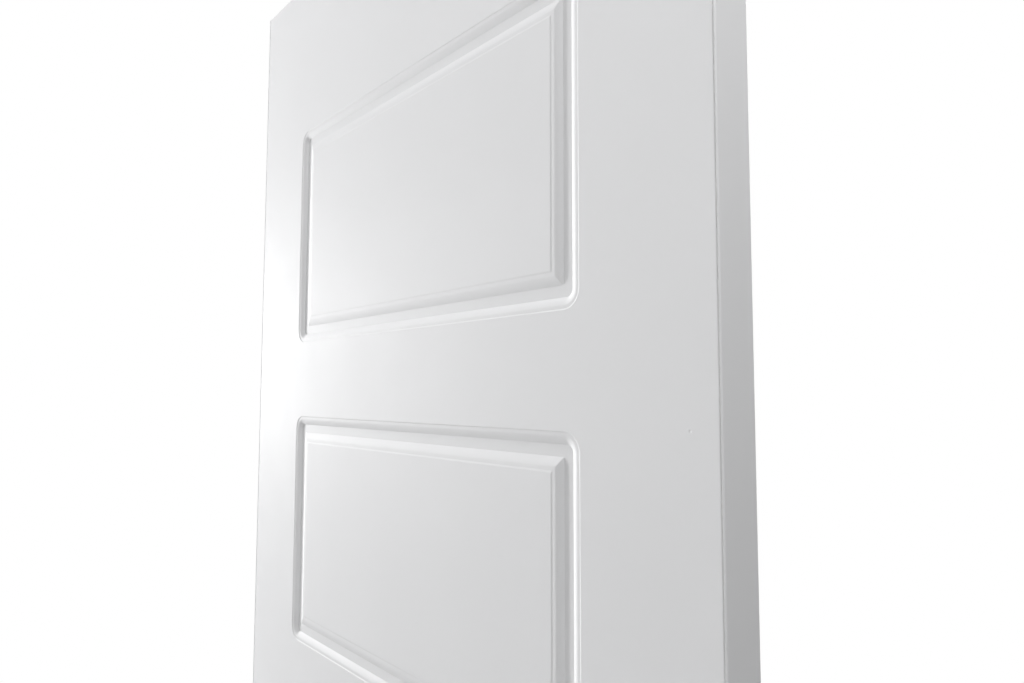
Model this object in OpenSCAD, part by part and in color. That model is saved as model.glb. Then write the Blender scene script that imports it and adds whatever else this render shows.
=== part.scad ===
// Five-panel interior door leaf with moulded skins on a light softwood frame.
// X runs across the leaf from the hinge edge, Y through its thickness and Z up from its bottom edge.
// The origin is on the hinge edge, at mid-thickness and at the leaf's bottom.

/* [Leaf] */
// Width of the leaf over its edge lippings
leaf_w = 711; // [610:1:915]
// Height of the leaf
leaf_h = 2032; // [1900:1:2135]
// Thickness of the leaf over both skins
leaf_t = 35; // [30:0.5:45]

/* [Panels] */
// Number of equal panels, one above the other
panel_count = 5; // [3:1:6]
// Stile face, from the leaf's edge to the panel moulding
stile_w = 117; // [95:1:140]
// Face of the top and bottom rails, from the leaf's end to the moulding
end_rail_h = 192; // [110:1:220]
// Face of each rail between two panels
mid_rail_h = 88; // [60:1:110]

/* [Moulding] */
// Radius of the moulding's outer corners
corner_r = 16; // [14:0.5:24]
// Depth of the first small step below the face
quirk_depth = 0.5; // [0.4:0.1:1.5]
// Width of that step, which slopes down to the fillet
quirk_w = 1; // [0.4:0.1:2]
// Width of the flat fillet between that step and the ovolo
fillet_w = 2.2; // [1:0.1:3.5]
// Width of the convex ovolo
ovolo_w = 6.6; // [4.5:0.1:7.5]
// Slope at which the ovolo leaves its fillet, as a share of its mean slope
ovolo_start_share = 0.4; // [0:0.1:0.8]
// Depth of the recessed flat below the face
recess_depth = 3.4; // [2.2:0.1:4.5]
// Width of the recessed flat, from the ovolo's foot to the foot of the bevel
recess_w = 9.3; // [7:0.1:14]
// Width of the convex bevel round the raised field
bevel_w = 7.8; // [6:0.1:12]
// Slope at the bevel's top edge, as a share of its mean slope
bevel_start_share = 0.4; // [0:0.1:0.8]
// Depth of the bevel's top edge below the face
bevel_top_depth = 1; // [0.8:0.1:1.8]
// Width of the small fillet at the top of the bevel
field_fillet_w = 2.6; // [1:0.1:4]
// Width of the sloping step from that fillet up to the field
field_step_w = 1.5; // [0.5:0.1:2.5]
// Depth of the raised field below the face
field_depth = 0.7; // [0.1:0.1:0.7]

/* [Skins and frame] */
// Thickness of each pressed skin
skin_t = 3.2; // [2.6:0.1:4]
// Thickness of the lipping glued to each long edge
lipping_t = 2; // [1.5:0.5:6]
// Width of the two frame stiles behind the skins
frame_stile_w = 30; // [22:1:60]
// Height of the top frame rail
frame_top_h = 45; // [28:1:90]
// Height of the bottom frame rail
frame_bottom_h = 60; // [28:1:90]

/* [Hidden] */
$fn = 96;

// Overrun of a cut past the surface that it opens
cut_over = 0.5;
panel_w = leaf_w - 2 * stile_w;
panel_h = (leaf_h - 2 * end_rail_h - (panel_count - 1) * mid_rail_h) / panel_count;
panel_pitch = panel_h + mid_rail_h;
ovolo_drop = recess_depth - quirk_depth;
ovolo_mean = atan2(ovolo_drop, ovolo_w);
ovolo_start = ovolo_start_share * ovolo_mean;
// Radius of the arc from the fillet's edge to the recessed flat
ovolo_r = norm([ovolo_w, ovolo_drop]) / (2 * sin(ovolo_mean - ovolo_start));
ovolo_top = quirk_w + fillet_w;
bevel_drop = recess_depth - bevel_top_depth;
bevel_mean = atan2(bevel_drop, bevel_w);
bevel_start = bevel_start_share * bevel_mean;
// Radius of the arc from the bevel's top edge to the recessed flat
bevel_r = norm([bevel_w, bevel_drop]) / (2 * sin(bevel_mean - bevel_start));
bevel_foot = ovolo_top + ovolo_w + recess_w;
skin_w = leaf_w - 2 * lipping_t;
core_t = leaf_t - 2 * skin_t;

// Section of the space cut out along a panel's edge: across from the outer line, and down from the face
module moulding_section() {
    polygon([[0, -cut_over], [0, 0], [quirk_w, quirk_depth], [corner_r, quirk_depth], [corner_r, -cut_over]]);
    difference() {
        translate([ovolo_top, 0]) square([corner_r - ovolo_top, recess_depth]);
        translate([ovolo_top - ovolo_r * sin(ovolo_start), quirk_depth + ovolo_r * cos(ovolo_start)])
            circle(ovolo_r);
    }
}

// One side of a panel's moulding and the rounded corner at the side's lower end
module moulding_side(across, along) {
    translate([-across / 2, 0, 0])
        linear_extrude(along - 2 * corner_r, center = true) moulding_section();
    translate([corner_r - across / 2, 0, corner_r - along / 2])
        rotate([-90, 0, 0]) rotate([0, 0, 90]) rotate_extrude(angle = 90)
            translate([corner_r, 0]) mirror([1, 0]) moulding_section();
}

// Section through the raised field of a panel of that size, with its bevels and steps
module field_section(size) {
    foot = size / 2 - bevel_foot;
    top = foot - bevel_w;
    ledge = top - field_fillet_w;
    edge = ledge - field_step_w;
    base = recess_depth + cut_over;
    polygon([[top, base], [top, bevel_top_depth], [ledge, bevel_top_depth], [edge, field_depth],
             [-edge, field_depth], [-ledge, bevel_top_depth], [-top, bevel_top_depth], [-top, base]]);
    for (side = [0, 1]) mirror([side, 0]) intersection() {
        translate([top, bevel_top_depth]) square([bevel_w, base - bevel_top_depth]);
        translate([top - bevel_r * sin(bevel_start), bevel_top_depth + bevel_r * cos(bevel_start)])
            circle(bevel_r);
    }
}

module raised_field() {
    intersection() {
        linear_extrude(panel_h, center = true) field_section(panel_w);
        rotate([0, 90, 0]) linear_extrude(panel_w, center = true) field_section(panel_h);
    }
}

// Space between the flat face and one panel's moulded surface, centred on the panel
module panel_relief() {
    difference() {
        union() {
            translate([corner_r - panel_w / 2, -cut_over, corner_r - panel_h / 2])
                cube([panel_w - 2 * corner_r, recess_depth + cut_over, panel_h - 2 * corner_r]);
            for (turn = [0, 180]) rotate([0, turn, 0]) {
                moulding_side(panel_w, panel_h);
                rotate([0, 90, 0]) moulding_side(panel_h, panel_w);
            }
        }
        raised_field();
    }
}

module each_panel() {
    for (i = [0 : panel_count - 1])
        translate([leaf_w / 2, 0, end_rail_h + panel_h / 2 + i * panel_pitch]) children();
}

// A pressed sheet of even thickness, with its face on the plane Y = 0 and its back towards +Y
module moulded_skin() {
    difference() {
        union() {
            translate([lipping_t, 0, 0]) cube([skin_w, skin_t, leaf_h]);
            translate([0, skin_t, 0]) each_panel() panel_relief();
        }
        each_panel() panel_relief();
    }
}

module front_skin() {
    color("white") translate([0, -leaf_t / 2, 0]) moulded_skin();
}

module back_skin() {
    color("white") mirror([0, 1, 0]) translate([0, -leaf_t / 2, 0]) moulded_skin();
}

// A frame member between the skins, from that place across and up
module frame_member(across, up, width, height) {
    color("burlywood") translate([across, -core_t / 2, up]) cube([width, core_t, height]);
}

module hinge_stile() {
    frame_member(lipping_t, 0, frame_stile_w, leaf_h);
}

module lock_stile() {
    frame_member(leaf_w - lipping_t - frame_stile_w, 0, frame_stile_w, leaf_h);
}

module top_rail() {
    frame_member(lipping_t + frame_stile_w, leaf_h - frame_top_h, skin_w - 2 * frame_stile_w, frame_top_h);
}

module bottom_rail() {
    frame_member(lipping_t + frame_stile_w, 0, skin_w - 2 * frame_stile_w, frame_bottom_h);
}

// A thin strip glued over the edges of the skins and the stile
module edge_lipping(across) {
    color("white") translate([across, -leaf_t / 2, 0]) cube([lipping_t, leaf_t, leaf_h]);
}

module hinge_edge_lipping() {
    edge_lipping(0);
}

module lock_edge_lipping() {
    edge_lipping(leaf_w - lipping_t);
}

front_skin();
back_skin();
hinge_stile();
lock_stile();
top_rail();
bottom_rail();
hinge_edge_lipping();
lock_edge_lipping();
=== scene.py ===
"""Looks of the five-panel door leaf: painted moulded skins, edge lippings and the raw timber frame."""
import math

import bmesh
import bpy
from mathutils import Matrix, Vector


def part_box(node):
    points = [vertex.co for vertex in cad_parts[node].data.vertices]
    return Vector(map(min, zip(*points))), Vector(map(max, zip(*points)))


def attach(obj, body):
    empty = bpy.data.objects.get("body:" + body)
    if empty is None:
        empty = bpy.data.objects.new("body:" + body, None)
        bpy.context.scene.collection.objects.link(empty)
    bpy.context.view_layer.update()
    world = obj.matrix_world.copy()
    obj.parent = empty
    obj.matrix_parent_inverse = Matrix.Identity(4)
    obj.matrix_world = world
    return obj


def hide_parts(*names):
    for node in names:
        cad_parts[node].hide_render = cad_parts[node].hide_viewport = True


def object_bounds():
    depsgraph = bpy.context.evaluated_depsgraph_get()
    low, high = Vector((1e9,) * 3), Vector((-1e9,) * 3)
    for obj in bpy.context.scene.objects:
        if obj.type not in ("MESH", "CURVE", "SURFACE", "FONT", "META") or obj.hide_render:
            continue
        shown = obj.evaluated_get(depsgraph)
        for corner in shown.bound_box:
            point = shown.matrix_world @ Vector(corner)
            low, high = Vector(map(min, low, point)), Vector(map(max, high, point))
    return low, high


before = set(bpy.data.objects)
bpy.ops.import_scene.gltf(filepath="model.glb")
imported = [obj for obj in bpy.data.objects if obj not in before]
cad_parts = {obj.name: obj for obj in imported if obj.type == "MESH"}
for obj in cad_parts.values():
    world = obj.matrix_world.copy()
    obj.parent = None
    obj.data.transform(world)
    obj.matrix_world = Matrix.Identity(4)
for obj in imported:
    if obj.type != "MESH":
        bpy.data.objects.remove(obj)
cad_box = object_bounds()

MM = 0.001

# The leaf, from the frame
LEAF_W = cad_box[1].x
LEAF_H = cad_box[1].z
FACE_Y = cad_box[0].y
LIPPING_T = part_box("hinge_edge_lipping")[1].x
SKIN_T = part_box("hinge_stile")[0].y - FACE_Y

# The panels
PANEL_COUNT = 5
STILE_W = 117 * MM
END_RAIL_H = 192 * MM
MID_RAIL_H = 88 * MM
PANEL_W = LEAF_W - 2 * STILE_W
PANEL_H = (LEAF_H - 2 * END_RAIL_H - (PANEL_COUNT - 1) * MID_RAIL_H) / PANEL_COUNT

# The moulding, from its outer line inwards and from the face down
CORNER_R = 16 * MM
QUIRK_DEPTH = 0.5 * MM
QUIRK_W = 1.0 * MM
FILLET_W = 2.2 * MM
OVOLO_W = 6.6 * MM
OVOLO_START_SHARE = 0.4
RECESS_DEPTH = 3.4 * MM
RECESS_W = 9.3 * MM
BEVEL_W = 7.8 * MM
BEVEL_START_SHARE = 0.4
BEVEL_TOP_DEPTH = 1.0 * MM
FIELD_FILLET_W = 2.6 * MM
FIELD_STEP_W = 1.5 * MM
FIELD_DEPTH = 0.7 * MM

# Radii that paint and pressing leave on the moulding's edges
QUIRK_SOFT_R = 0.35 * MM
ROOT_SOFT_R = 0.5 * MM
MITRE_SOFT_R = 0.7 * MM

# Eased edges, and the groove that the lippings leave at their joints
SKIN_EASE = 0.8 * MM
GROOVE_W = 0.5 * MM
GROOVE_DEPTH = 1.4 * MM
GROOVE_EDGE_R = 0.15 * MM
ARRIS_R = 1.2 * MM
TIMBER_EASE = 0.4 * MM

# A small pit in the front face's paint, beside the lock edge
PIT_AT = Vector((LEAF_W - 23 * MM, FACE_Y, 1497 * MM))
PIT_R = 1.5 * MM
PIT_DEPTH = 0.28 * MM

# Sizes of the grains and waves in the materials, and how high they stand
PAINT_CLOUD = 160 * MM
PAINT_SHEEN = 30 * MM
PAINT_WAVE = 45 * MM
PAINT_WAVE_H = 0.02 * MM
PAINT_PEEL = 1.6 * MM
PAINT_PEEL_H = 0.006 * MM
BOARD_FIBRE = 0.5 * MM
BOARD_FIBRE_H = 0.08 * MM
PINE_WANDER = 50 * MM
PINE_FIBRE = 0.9 * MM
PINE_FIBRE_H = 0.15 * MM

# The paint's range of roughness and its share of gloss
PAINT_ROUGHNESS = (0.66, 0.74)
PAINT_SPECULAR = 0.25

# Where the pith runs past each set of timber, and how wide its growth rings are
UPRIGHT_PITH = (0.30, 0.05)
UPRIGHT_RING = 2.6 * MM
LEVEL_PITH = (-0.035, 1.3)
LEVEL_RING = 3.1 * MM

# Tessellation
CORNER_STEPS = 16
MITRE_STEPS = 3
SOFT_STEPS = 3
OVOLO_STEPS = 10
BEVEL_STEPS = 8
ARRIS_STEPS = 8
SHARP_DEG = 50

# How much of a side one softened corner may take, and how near counts as the same point or as on an edge
REACH_SHARE = 0.45
SAME_POINT = 0.001 * MM
ON_EDGE = 0.01 * MM

# The camera, from a fit to the leaf's edges in the photograph
PICTURE_W = 1024
FOCAL_PX = 730.1
SENSOR_W = 36.0
CAMERA_AT = Vector((0.9598, -0.3877, 1.5195))
CAMERA_YAW = math.radians(49.94)
CAMERA_PITCH = math.radians(4.11)
CAMERA_ROLL = math.radians(0.10)
CAMERA_CLIP = 10 * MM

# The floor, and the shares of its radius between which it fades for the camera
FLOOR_R = 3.1
FLOOR_GAP = 0.2 * MM
FLOOR_GREY = (0.86, 0.86, 0.86, 1)
FADE_SHARES = (0.3, 0.95)

# Lamps in metres and watts: name, place, size across and up, and power
WORLD_LIGHT = 0.1
FRONT_AIM_Z = 1.5
FRONT_LAMPS = (
    ("key", (-2.4, -0.58, 1.72), (0.17, 0.6), 104),
    ("top", (0.2, -0.8, 3.4), (1.6, 1.6), 18),
    ("lock_side", (1.5, -0.25, 2.5), (0.6, 0.6), 11),
    ("low", (0.7, -2.6, 0.7), (2.0, 0.8), 8.5),
)
BACK_AIM_Z = 1.1
BACK_LAMP = ("back_key", (-1.7, 1.3, 1.7), (0.5, 1.6), 45)


def arc(centre, radius, start, end, steps):
    """Points on an arc from one angle to another, in degrees, both ends included."""
    angles = [math.radians(start + (end - start) * k / steps) for k in range(steps + 1)]
    return [(centre[0] + radius * math.cos(a), centre[1] + radius * math.sin(a)) for a in angles]


def soften(points, radii, steps):
    """The open outline through these points, with the corners that have a radius rounded off."""
    outline = [points[0]]
    for before, corner, after, radius in zip(points, points[1:], points[2:], radii):
        if not radius:
            outline.append(corner)
            continue
        p, a, b = Vector(corner), Vector(before), Vector(after)
        to_a, to_b = (a - p).normalized(), (b - p).normalized()
        half = to_a.angle(to_b) / 2
        reach = min(radius / math.tan(half), (a - p).length * REACH_SHARE, (b - p).length * REACH_SHARE)
        start, end = p + to_a * reach, p + to_b * reach
        for k in range(steps + 1):
            t = k / steps
            point = start * (1 - t) ** 2 + p * 2 * t * (1 - t) + end * t ** 2
            outline.append((point.x, point.y))
    return outline + [points[-1]]


def convex_slope(width, drop, start_share, steps):
    """Points down an arc from the origin, which starts at that share of its mean slope, without its ends."""
    mean = math.atan2(drop, width)
    start = start_share * mean
    radius = math.hypot(width, drop) / (2 * math.sin(mean - start))
    centre = (-radius * math.sin(start), radius * math.cos(start))
    first, last = math.degrees(start) - 90, math.degrees(2 * mean - start) - 90
    return arc(centre, radius, first, last, steps)[1:-1]


def moulding_outline():
    """(inset, depth) from the face just outside the outer line to the recessed flat past the ovolo."""
    top = QUIRK_W + FILLET_W
    slope = convex_slope(OVOLO_W, RECESS_DEPTH - QUIRK_DEPTH, OVOLO_START_SHARE, OVOLO_STEPS)
    ovolo = [(top + along, QUIRK_DEPTH + down) for along, down in slope]
    foot = (top + OVOLO_W, RECESS_DEPTH)
    points = [(-2 * QUIRK_SOFT_R, 0), (0, 0), (QUIRK_W, QUIRK_DEPTH), (top, QUIRK_DEPTH),
              *ovolo, foot, (foot[0] + 2 * ROOT_SOFT_R, RECESS_DEPTH)]
    radii = [QUIRK_SOFT_R, QUIRK_SOFT_R, 0, *[0] * len(ovolo), ROOT_SOFT_R]
    return soften(points, radii, SOFT_STEPS)


def field_outline():
    """(inset, depth) from the recessed flat just outside the bevel to the raised field."""
    foot = QUIRK_W + FILLET_W + OVOLO_W + RECESS_W
    top = foot + BEVEL_W
    ledge = top + FIELD_FILLET_W
    edge = ledge + FIELD_STEP_W
    slope = convex_slope(BEVEL_W, RECESS_DEPTH - BEVEL_TOP_DEPTH, BEVEL_START_SHARE, BEVEL_STEPS)
    bevel = [(top - along, BEVEL_TOP_DEPTH + down) for along, down in reversed(slope)]
    points = [(foot - 2 * ROOT_SOFT_R, RECESS_DEPTH), (foot, RECESS_DEPTH), *bevel, (top, BEVEL_TOP_DEPTH),
              (ledge, BEVEL_TOP_DEPTH), (edge, FIELD_DEPTH), (edge + 2 * ROOT_SOFT_R, FIELD_DEPTH)]
    radii = [ROOT_SOFT_R, *[0] * len(bevel), 0, ROOT_SOFT_R, ROOT_SOFT_R]
    return soften(points, radii, SOFT_STEPS)


def rounded_rectangle(width, height, radius, steps):
    """Points of a rounded rectangle round the origin, anticlockwise, with steps + 1 at each corner."""
    points = []
    for quarter, (right, up) in enumerate(((1, 1), (-1, 1), (-1, -1), (1, -1))):
        centre = (right * (width / 2 - radius), up * (height / 2 - radius))
        points += arc(centre, radius, 90 * quarter, 90 * (quarter + 1), steps)
    return points


def cell_rectangle(low, high, inner, steps):
    """Points of a rectangle that pair with those of the rounded rectangle inner within it."""
    points = []
    corners = ((high[0], high[1]), (low[0], high[1]), (low[0], low[1]), (high[0], low[1]))
    for quarter, corner in enumerate(corners):
        arc_points = inner[quarter * (steps + 1):(quarter + 1) * (steps + 1)]
        upright_first = quarter % 2 == 0
        sides = ((corner[0], arc_points[0][1]), (arc_points[-1][0], corner[1]))
        if not upright_first:
            sides = ((arc_points[0][0], corner[1]), (corner[0], arc_points[-1][1]))
        for k in range(steps + 1):
            t = abs(1 - 2 * k / steps)
            side = sides[0] if 2 * k < steps else sides[1]
            points.append((corner[0] + (side[0] - corner[0]) * t, corner[1] + (side[1] - corner[1]) * t))
    return points


def bridge(bm, outer, inner):
    """Quads between two rings of as many vertices."""
    count = len(outer)
    for i in range(count):
        j = (i + 1) % count
        bm.faces.new((outer[i], outer[j], inner[j], inner[i]))


def stitch(bm, outer, inner, outer_steps, inner_steps):
    """A flat band between two rings whose four corners have different numbers of vertices."""
    outer_corner, inner_corner = outer_steps + 1, inner_steps + 1
    for quarter in range(4):
        at = 0
        for k in range(outer_steps):
            a, b = outer[quarter * outer_corner + k], outer[quarter * outer_corner + k + 1]
            goal = round((k + 1) * inner_steps / outer_steps)
            near = inner[quarter * inner_corner + at]
            if goal > at:
                bm.faces.new((a, b, inner[quarter * inner_corner + goal], near))
                at = goal
            else:
                bm.faces.new((a, b, near))
        following = (quarter + 1) % 4
        bm.faces.new((outer[quarter * outer_corner + outer_steps], outer[following * outer_corner],
                      inner[following * inner_corner], inner[quarter * inner_corner + inner_steps]))


def add_panel(bm, centre, low, high, depth):
    """One moulded panel and the flat face round it, out to the rectangle from low to high."""
    def ring(inset, drop, radius, steps):
        outline = rounded_rectangle(PANEL_W - 2 * inset, PANEL_H - 2 * inset, radius, steps)
        return [bm.verts.new((centre[0] + x, depth + drop, centre[1] + z)) for x, z in outline]

    first = moulding_outline()[0]
    inner = rounded_rectangle(PANEL_W - 2 * first[0], PANEL_H - 2 * first[0], CORNER_R - first[0],
                              CORNER_STEPS)
    inner = [(centre[0] + x, centre[1] + z) for x, z in inner]
    previous = [bm.verts.new((x, depth, z)) for x, z in cell_rectangle(low, high, inner, CORNER_STEPS)]
    for inset, drop in moulding_outline():
        current = ring(inset, drop, CORNER_R - inset, CORNER_STEPS)
        bridge(bm, previous, current)
        previous = current
    steps = CORNER_STEPS
    for inset, drop in field_outline():
        current = ring(inset, drop, MITRE_SOFT_R, MITRE_STEPS)
        if steps == CORNER_STEPS:
            stitch(bm, previous, current, CORNER_STEPS, MITRE_STEPS)
            steps = MITRE_STEPS
        else:
            bridge(bm, previous, current)
        previous = current
    bm.faces.new(previous)


def add_sheet(bm, depth, grow):
    """The moulded surface of a whole skin, with its outer edge pushed out by grow."""
    left, right = LIPPING_T + SKIN_EASE, LEAF_W - LIPPING_T - SKIN_EASE
    bottom, top = SKIN_EASE, LEAF_H - SKIN_EASE
    before = set(bm.verts)
    low_z = bottom
    for i in range(PANEL_COUNT):
        centre = (LEAF_W / 2, END_RAIL_H + PANEL_H / 2 + i * (PANEL_H + MID_RAIL_H))
        high_z = top if i == PANEL_COUNT - 1 else centre[1] + (PANEL_H + MID_RAIL_H) / 2
        add_panel(bm, centre, (left, low_z), (right, high_z), depth)
        low_z = high_z
    for v in set(bm.verts) - before:
        v.co.x += grow * ((v.co.x > right - ON_EDGE) - (v.co.x < left + ON_EDGE))
        v.co.z += grow * ((v.co.z > top - ON_EDGE) - (v.co.z < bottom + ON_EDGE))


def add_rim(bm, back_faces):
    """The eased edge and the sides that join a skin's face to its back."""
    bmesh.ops.remove_doubles(bm, verts=bm.verts, dist=SAME_POINT)
    edges = [e for e in bm.edges if len(e.link_faces) == 1 and e.link_faces[0] not in back_faces]
    left, right = LIPPING_T + SKIN_EASE, LEAF_W - LIPPING_T - SKIN_EASE
    middle = ((left + right) / 2, LEAF_H / 2)
    half = ((right - left) / 2 - ON_EDGE, LEAF_H / 2 - SKIN_EASE - ON_EDGE)
    stages = [(out, down) for out, down in arc((0, SKIN_EASE), SKIN_EASE, -90, 0, SOFT_STEPS)][1:]
    stages.append((SKIN_EASE, SKIN_T))
    out_before, down_before = 0, 0
    rim = []
    for out, down in stages:
        made = bmesh.ops.extrude_edge_only(bm, edges=edges)["geom"]
        edges = [g for g in made if isinstance(g, bmesh.types.BMEdge) and len(g.link_faces) == 1]
        for v in {v for e in edges for v in e.verts}:
            x, z = v.co.x - middle[0], v.co.z - middle[1]
            v.co.x += math.copysign(out - out_before, x) * (abs(x) > half[0])
            v.co.z += math.copysign(out - out_before, z) * (abs(z) > half[1])
            v.co.y += down - down_before
        rim = [g for g in made if isinstance(g, bmesh.types.BMFace)]
        out_before, down_before = out, down
    return rim


def finish_mesh(name, bm, materials):
    """A named object from a mesh, smooth where it bends little, riding on the leaf."""
    bmesh.ops.remove_doubles(bm, verts=bm.verts, dist=SAME_POINT)
    bmesh.ops.recalc_face_normals(bm, faces=bm.faces)
    mesh = bpy.data.meshes.new(name)
    bm.to_mesh(mesh)
    bm.free()
    for material in materials:
        mesh.materials.append(material)
    mesh.shade_smooth()
    mesh.set_sharp_from_angle(angle=math.radians(SHARP_DEG))
    piece = bpy.data.objects.new(name, mesh)
    bpy.context.scene.collection.objects.link(piece)
    weighted = piece.modifiers.new("weighted_normals", "WEIGHTED_NORMAL")
    weighted.keep_sharp = True
    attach(piece, "root")
    return piece


def moulded_skin(name, node, back_to_front, paint, board):
    """A pressed skin of even thickness with its eased, painted face and raw cut edges."""
    bm = bmesh.new()
    add_sheet(bm, SKIN_T, SKIN_EASE)
    back_faces = set(bm.faces)
    add_sheet(bm, 0, 0)
    rim = add_rim(bm, back_faces)
    for face in [*rim, *back_faces]:
        face.material_index = 1
    place = Matrix.Translation((0, FACE_Y, 0))
    if back_to_front:
        place = Matrix.Scale(-1, 4, (0, 1, 0)) @ place
    bmesh.ops.transform(bm, matrix=place, verts=bm.verts)
    piece = finish_mesh(name, bm, [paint, board])
    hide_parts(node)
    return piece


def edge_lipping(name, node, outward, paint, timber):
    """A strip over a long edge, with an open groove along its joint with each skin and rounded arrises."""
    low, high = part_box(node)
    joint_x = low.x if outward > 0 else high.x
    profile = [(0, GROOVE_DEPTH), (GROOVE_W, GROOVE_DEPTH)]
    profile += arc((GROOVE_W + GROOVE_EDGE_R, GROOVE_EDGE_R), GROOVE_EDGE_R, 180, 270, SOFT_STEPS)
    profile += arc((LIPPING_T - ARRIS_R, ARRIS_R), ARRIS_R, -90, 0, ARRIS_STEPS)
    outline = [(joint_x + outward * out, low.y + down) for out, down in profile]
    outline += [(joint_x + outward * out, high.y - down) for out, down in reversed(profile)]
    bm = bmesh.new()
    rings = [[bm.verts.new((x, y, z)) for x, y in outline] for z in (low.z, high.z)]
    bridge(bm, *rings)
    for ring in rings:
        bm.faces.new(ring).material_index = 1
    piece = finish_mesh(name, bm, [paint, timber])
    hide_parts(node)
    return piece


def frame_timber(name, node, material):
    """A sawn frame member with its edges eased."""
    low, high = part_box(node)
    bm = bmesh.new()
    place = Matrix.Translation((low + high) / 2) @ Matrix.Diagonal((*(high - low), 1))
    bmesh.ops.create_cube(bm, size=1, matrix=place)
    bmesh.ops.bevel(bm, geom=bm.edges[:], offset=TIMBER_EASE, segments=2, affect="EDGES", profile=0.5)
    piece = finish_mesh(name, bm, [material])
    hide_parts(node)
    return piece


class Nodes:
    """Short calls for building a material's node tree."""

    def __init__(self, name):
        self.material = bpy.data.materials.new(name)
        self.material.use_nodes = True
        self.tree = self.material.node_tree
        self.shader = self.tree.nodes["Principled BSDF"]
        self.place = self.new("ShaderNodeTexCoord").outputs["Object"]

    def new(self, kind, **settings):
        node = self.tree.nodes.new(kind)
        for key, value in settings.items():
            setattr(node, key, value)
        return node

    def link(self, source, target):
        self.tree.links.new(source, target)

    def math(self, operation, a, b=0.0):
        node = self.new("ShaderNodeMath", operation=operation)
        for socket, value in zip(node.inputs, (a, b)):
            if isinstance(value, (int, float)):
                socket.default_value = value
            else:
                self.link(value, socket)
        return node.outputs[0]

    def noise(self, size, detail, stretch=(1, 1, 1)):
        """Noise whose grains are about that size, in metres."""
        mapping = self.new("ShaderNodeMapping")
        self.link(self.place, mapping.inputs["Vector"])
        mapping.inputs["Scale"].default_value = stretch
        node = self.new("ShaderNodeTexNoise")
        node.inputs["Scale"].default_value = 1 / size
        node.inputs["Detail"].default_value = detail
        self.link(mapping.outputs[0], node.inputs["Vector"])
        return node.outputs["Fac"]

    def ramp(self, factor, *stops):
        """Colours at those places along the factor."""
        node = self.new("ShaderNodeValToRGB")
        elements = node.color_ramp.elements
        while len(elements) < len(stops):
            elements.new(0.5)
        for element, (position, colour) in zip(elements, stops):
            element.position = position
            element.color = (*colour, 1)
        self.link(factor, node.inputs["Fac"])
        return node.outputs["Color"]

    def level(self, factor, low, high):
        """The factor brought from 0..1 to low..high."""
        node = self.new("ShaderNodeMapRange")
        node.inputs["To Min"].default_value = low
        node.inputs["To Max"].default_value = high
        self.link(factor, node.inputs["Value"])
        return node.outputs["Result"]

    def bump(self, height, distance, after=None):
        """A bump whose height of 1 stands for that distance, in metres."""
        node = self.new("ShaderNodeBump")
        node.inputs["Distance"].default_value = distance
        self.link(height, node.inputs["Height"])
        if after is not None:
            self.link(after, node.inputs["Normal"])
        return node.outputs["Normal"]


def satin_paint(name, colour, grain_stretch, pit=None):
    """Sprayed satin white, with a faint orange peel, slow waves, uneven sheen and perhaps one small pit."""
    nodes = Nodes(name)
    cloud = nodes.noise(PAINT_CLOUD, detail=3)
    tone = [tuple(c * share for c in colour) for share in (0.985, 1.0)]
    nodes.link(nodes.ramp(cloud, (0.3, tone[0]), (0.7, tone[1])), nodes.shader.inputs["Base Color"])
    sheen = nodes.noise(PAINT_SHEEN, detail=4)
    nodes.link(nodes.level(sheen, *PAINT_ROUGHNESS), nodes.shader.inputs["Roughness"])
    nodes.shader.inputs["Specular IOR Level"].default_value = PAINT_SPECULAR
    waves = nodes.bump(nodes.noise(PAINT_WAVE, detail=1), PAINT_WAVE_H)
    surface = nodes.bump(nodes.noise(PAINT_PEEL, detail=2, stretch=grain_stretch), PAINT_PEEL_H, waves)
    if pit is not None:
        away = nodes.new("ShaderNodeVectorMath", operation="DISTANCE")
        nodes.link(nodes.place, away.inputs[0])
        away.inputs[1].default_value = pit
        hollow = nodes.new("ShaderNodeMapRange", interpolation_type="SMOOTHSTEP")
        hollow.inputs["From Max"].default_value = PIT_R
        nodes.link(away.outputs["Value"], hollow.inputs["Value"])
        surface = nodes.bump(hollow.outputs["Result"], PIT_DEPTH, surface)
    nodes.link(surface, nodes.shader.inputs["Normal"])
    return nodes.material


def raw_board():
    """Cut edge of pressed fibreboard: brown, with fine fibres."""
    nodes = Nodes("raw_board")
    fibre = nodes.noise(BOARD_FIBRE, detail=4, stretch=(1, 3, 3))
    nodes.link(nodes.ramp(fibre, (0.25, (0.20, 0.125, 0.07)), (0.75, (0.40, 0.28, 0.175))),
               nodes.shader.inputs["Base Color"])
    nodes.shader.inputs["Roughness"].default_value = 0.85
    nodes.link(nodes.bump(fibre, BOARD_FIBRE_H), nodes.shader.inputs["Normal"])
    return nodes.material


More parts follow.
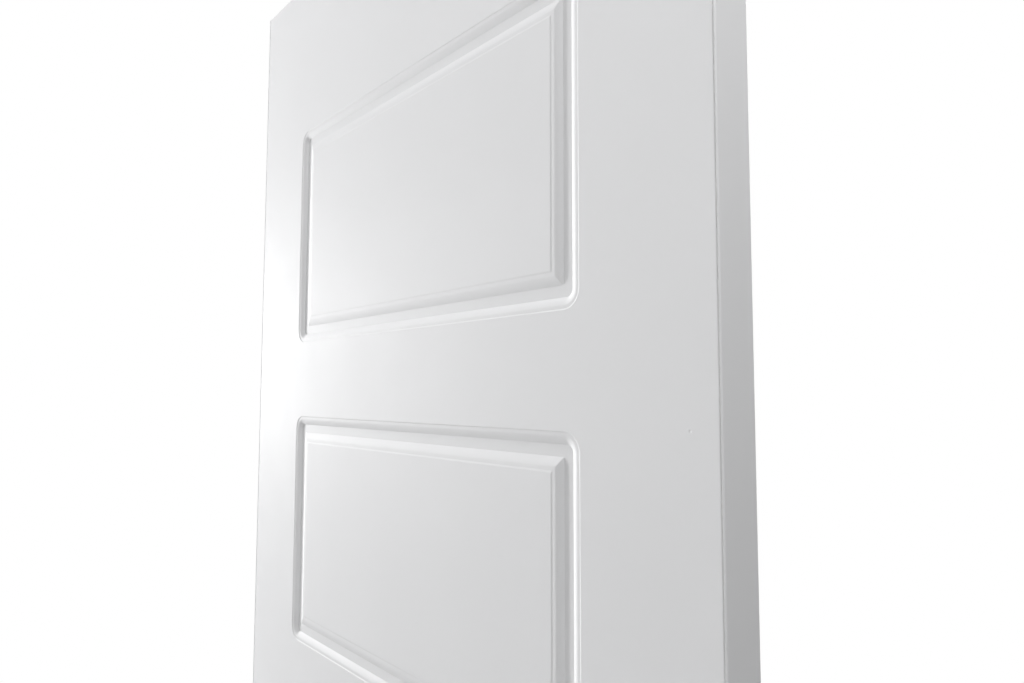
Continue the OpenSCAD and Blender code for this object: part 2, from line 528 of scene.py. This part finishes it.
def sawn_pine(name, grain_axis, pith, ring):
    """Softwood with growth rings round a pith that runs along one axis."""
    nodes = Nodes(name)
    flow = tuple(0.08 if axis == grain_axis else 1.0 for axis in "XYZ")
    wander = nodes.noise(PINE_WANDER, detail=2, stretch=flow)
    split = nodes.new("ShaderNodeSeparateXYZ")
    nodes.link(nodes.place, split.inputs[0])
    across = [axis for axis in "XYZ" if axis != grain_axis]
    squares = []
    for axis, offset in zip(across, pith):
        away = nodes.math("SUBTRACT", split.outputs[axis], offset)
        squares.append(nodes.math("MULTIPLY", away, away))
    radius = nodes.math("SQRT", nodes.math("ADD", *squares))
    rings = nodes.math("ADD", nodes.math("DIVIDE", radius, ring), nodes.math("MULTIPLY", wander, 2.2))
    season = nodes.math("FRACT", rings)
    along = tuple(0.03 if axis == grain_axis else 1.0 for axis in "XYZ")
    fibre = nodes.noise(PINE_FIBRE, detail=4, stretch=along)
    grain = nodes.math("ADD", season, nodes.math("MULTIPLY", fibre, 0.35))
    colour = nodes.ramp(grain, (0.1, (0.66, 0.47, 0.27)), (0.75, (0.58, 0.385, 0.20)),
                        (0.815, (0.40, 0.225, 0.10)), (1.0, (0.62, 0.43, 0.24)))
    nodes.link(colour, nodes.shader.inputs["Base Color"])
    nodes.shader.inputs["Roughness"].default_value = 0.7
    nodes.link(nodes.bump(fibre, PINE_FIBRE_H), nodes.shader.inputs["Normal"])
    return nodes.material


def make_camera():
    camera = bpy.data.objects.new("camera", bpy.data.cameras.new("camera"))
    camera.data.sensor_width = SENSOR_W
    camera.data.lens = SENSOR_W * FOCAL_PX / PICTURE_W
    camera.data.clip_start = CAMERA_CLIP
    turn = (Matrix.Rotation(CAMERA_YAW, 4, "Z") @ Matrix.Rotation(math.pi / 2 + CAMERA_PITCH, 4, "X")
            @ Matrix.Rotation(CAMERA_ROLL, 4, "Z"))
    camera.matrix_world = Matrix.Translation(CAMERA_AT) @ turn
    bpy.context.scene.collection.objects.link(camera)
    bpy.context.scene.camera = camera


def area_light(name, at, size, power, target):
    """A rectangular lamp of size (width, height) that faces the target."""
    lamp = bpy.data.lights.new(name, "AREA")
    lamp.shape = "RECTANGLE"
    lamp.size, lamp.size_y = size
    lamp.energy = power
    light = bpy.data.objects.new(name, lamp)
    aim = (Vector(target) - Vector(at)).to_track_quat("-Z", "Y")
    light.matrix_world = Matrix.Translation(at) @ aim.to_matrix().to_4x4()
    bpy.context.scene.collection.objects.link(light)
    return light


def make_world(strength):
    """White where the camera, gloss or glass looks, and a soft even light elsewhere."""
    world = bpy.data.worlds.new("studio")
    world.use_nodes = True
    bpy.context.scene.world = world
    tree = world.node_tree
    tree.nodes.clear()
    output = tree.nodes.new("ShaderNodeOutputWorld")
    mix = tree.nodes.new("ShaderNodeMixShader")
    soft = tree.nodes.new("ShaderNodeBackground")
    soft.inputs["Color"].default_value = (1, 1, 1, 1)
    soft.inputs["Strength"].default_value = strength
    white = tree.nodes.new("ShaderNodeBackground")
    white.inputs["Color"].default_value = (1, 1, 1, 1)
    path = tree.nodes.new("ShaderNodeLightPath")
    seen = path.outputs["Is Camera Ray"]
    for ray in ("Is Glossy Ray", "Is Transmission Ray"):
        either = tree.nodes.new("ShaderNodeMath")
        either.operation = "MAXIMUM"
        tree.links.new(seen, either.inputs[0])
        tree.links.new(path.outputs[ray], either.inputs[1])
        seen = either.outputs[0]
    tree.links.new(seen, mix.inputs[0])
    tree.links.new(soft.outputs[0], mix.inputs[1])
    tree.links.new(white.outputs[0], mix.inputs[2])
    tree.links.new(mix.outputs[0], output.inputs["Surface"])


def make_floor():
    """A pale round floor under the leaf, which the camera sees fade into the white round it."""
    bm = bmesh.new()
    bmesh.ops.create_circle(bm, cap_ends=True, segments=96, radius=FLOOR_R)
    mesh = bpy.data.meshes.new("floor")
    bm.to_mesh(mesh)
    bm.free()
    floor = bpy.data.objects.new("floor", mesh)
    floor.location = (LEAF_W / 2, 0, cad_box[0].z - FLOOR_GAP)
    bpy.context.scene.collection.objects.link(floor)
    nodes = Nodes("floor")
    nodes.shader.inputs["Base Color"].default_value = FLOOR_GREY
    nodes.shader.inputs["Roughness"].default_value = 0.9
    away = nodes.new("ShaderNodeVectorMath", operation="LENGTH")
    nodes.link(nodes.place, away.inputs[0])
    fade = nodes.new("ShaderNodeMapRange", interpolation_type="SMOOTHSTEP")
    fade.inputs["From Min"].default_value = FADE_SHARES[0] * FLOOR_R
    fade.inputs["From Max"].default_value = FADE_SHARES[1] * FLOOR_R
    nodes.link(away.outputs["Value"], fade.inputs["Value"])
    seen = nodes.new("ShaderNodeLightPath").outputs["Is Camera Ray"]
    white = nodes.new("ShaderNodeEmission")
    mix = nodes.new("ShaderNodeMixShader")
    nodes.link(nodes.math("MULTIPLY", fade.outputs["Result"], seen), mix.inputs[0])
    nodes.link(nodes.shader.outputs[0], mix.inputs[1])
    nodes.link(white.outputs[0], mix.inputs[2])
    nodes.link(mix.outputs[0], nodes.tree.nodes["Material Output"].inputs["Surface"])
    mesh.materials.append(nodes.material)


def make_lights(hinge_strip):
    """A raking key and soft lamps for the photographed face, and a broader key for the back."""
    front = (LEAF_W / 2, FACE_Y, FRONT_AIM_Z)
    lamps = {lamp[0]: area_light(*lamp, front) for lamp in FRONT_LAMPS}
    area_light(*BACK_LAMP, (LEAF_W / 2, -FACE_Y, BACK_AIM_Z))
    # The key stands square to the hinge edge, which it would bleach, so it passes that strip by
    passed_by = bpy.data.collections.new("passed_by")
    passed_by.objects.link(hinge_strip)
    passed_by.collection_objects[0].light_linking.link_state = "EXCLUDE"
    lamps["key"].light_linking.receiver_collection = passed_by


bpy.context.scene.view_settings.view_transform = "Standard"
make_camera()
make_world(WORLD_LIGHT)
make_floor()

SKIN_WHITE = (0.80, 0.802, 0.81)
face_paint = satin_paint("face_paint", SKIN_WHITE, (1, 1, 1), PIT_AT)
edge_paint = satin_paint("edge_paint", SKIN_WHITE, (1, 1, 0.25))
board = raw_board()
upright_pine = sawn_pine("upright_pine", "Z", UPRIGHT_PITH, UPRIGHT_RING)
level_pine = sawn_pine("level_pine", "X", LEVEL_PITH, LEVEL_RING)

moulded_skin("front_face", "front_skin", False, face_paint, board)
moulded_skin("back_face", "back_skin", True, face_paint, board)
hinge_strip = edge_lipping("hinge_edge_strip", "hinge_edge_lipping", -1, edge_paint, upright_pine)
edge_lipping("lock_edge_strip", "lock_edge_lipping", 1, edge_paint, upright_pine)
frame_timber("hinge_side_stile", "hinge_stile", upright_pine)
frame_timber("lock_side_stile", "lock_stile", upright_pine)
frame_timber("head_rail", "top_rail", level_pine)
frame_timber("foot_rail", "bottom_rail", level_pine)
make_lights(hinge_strip)
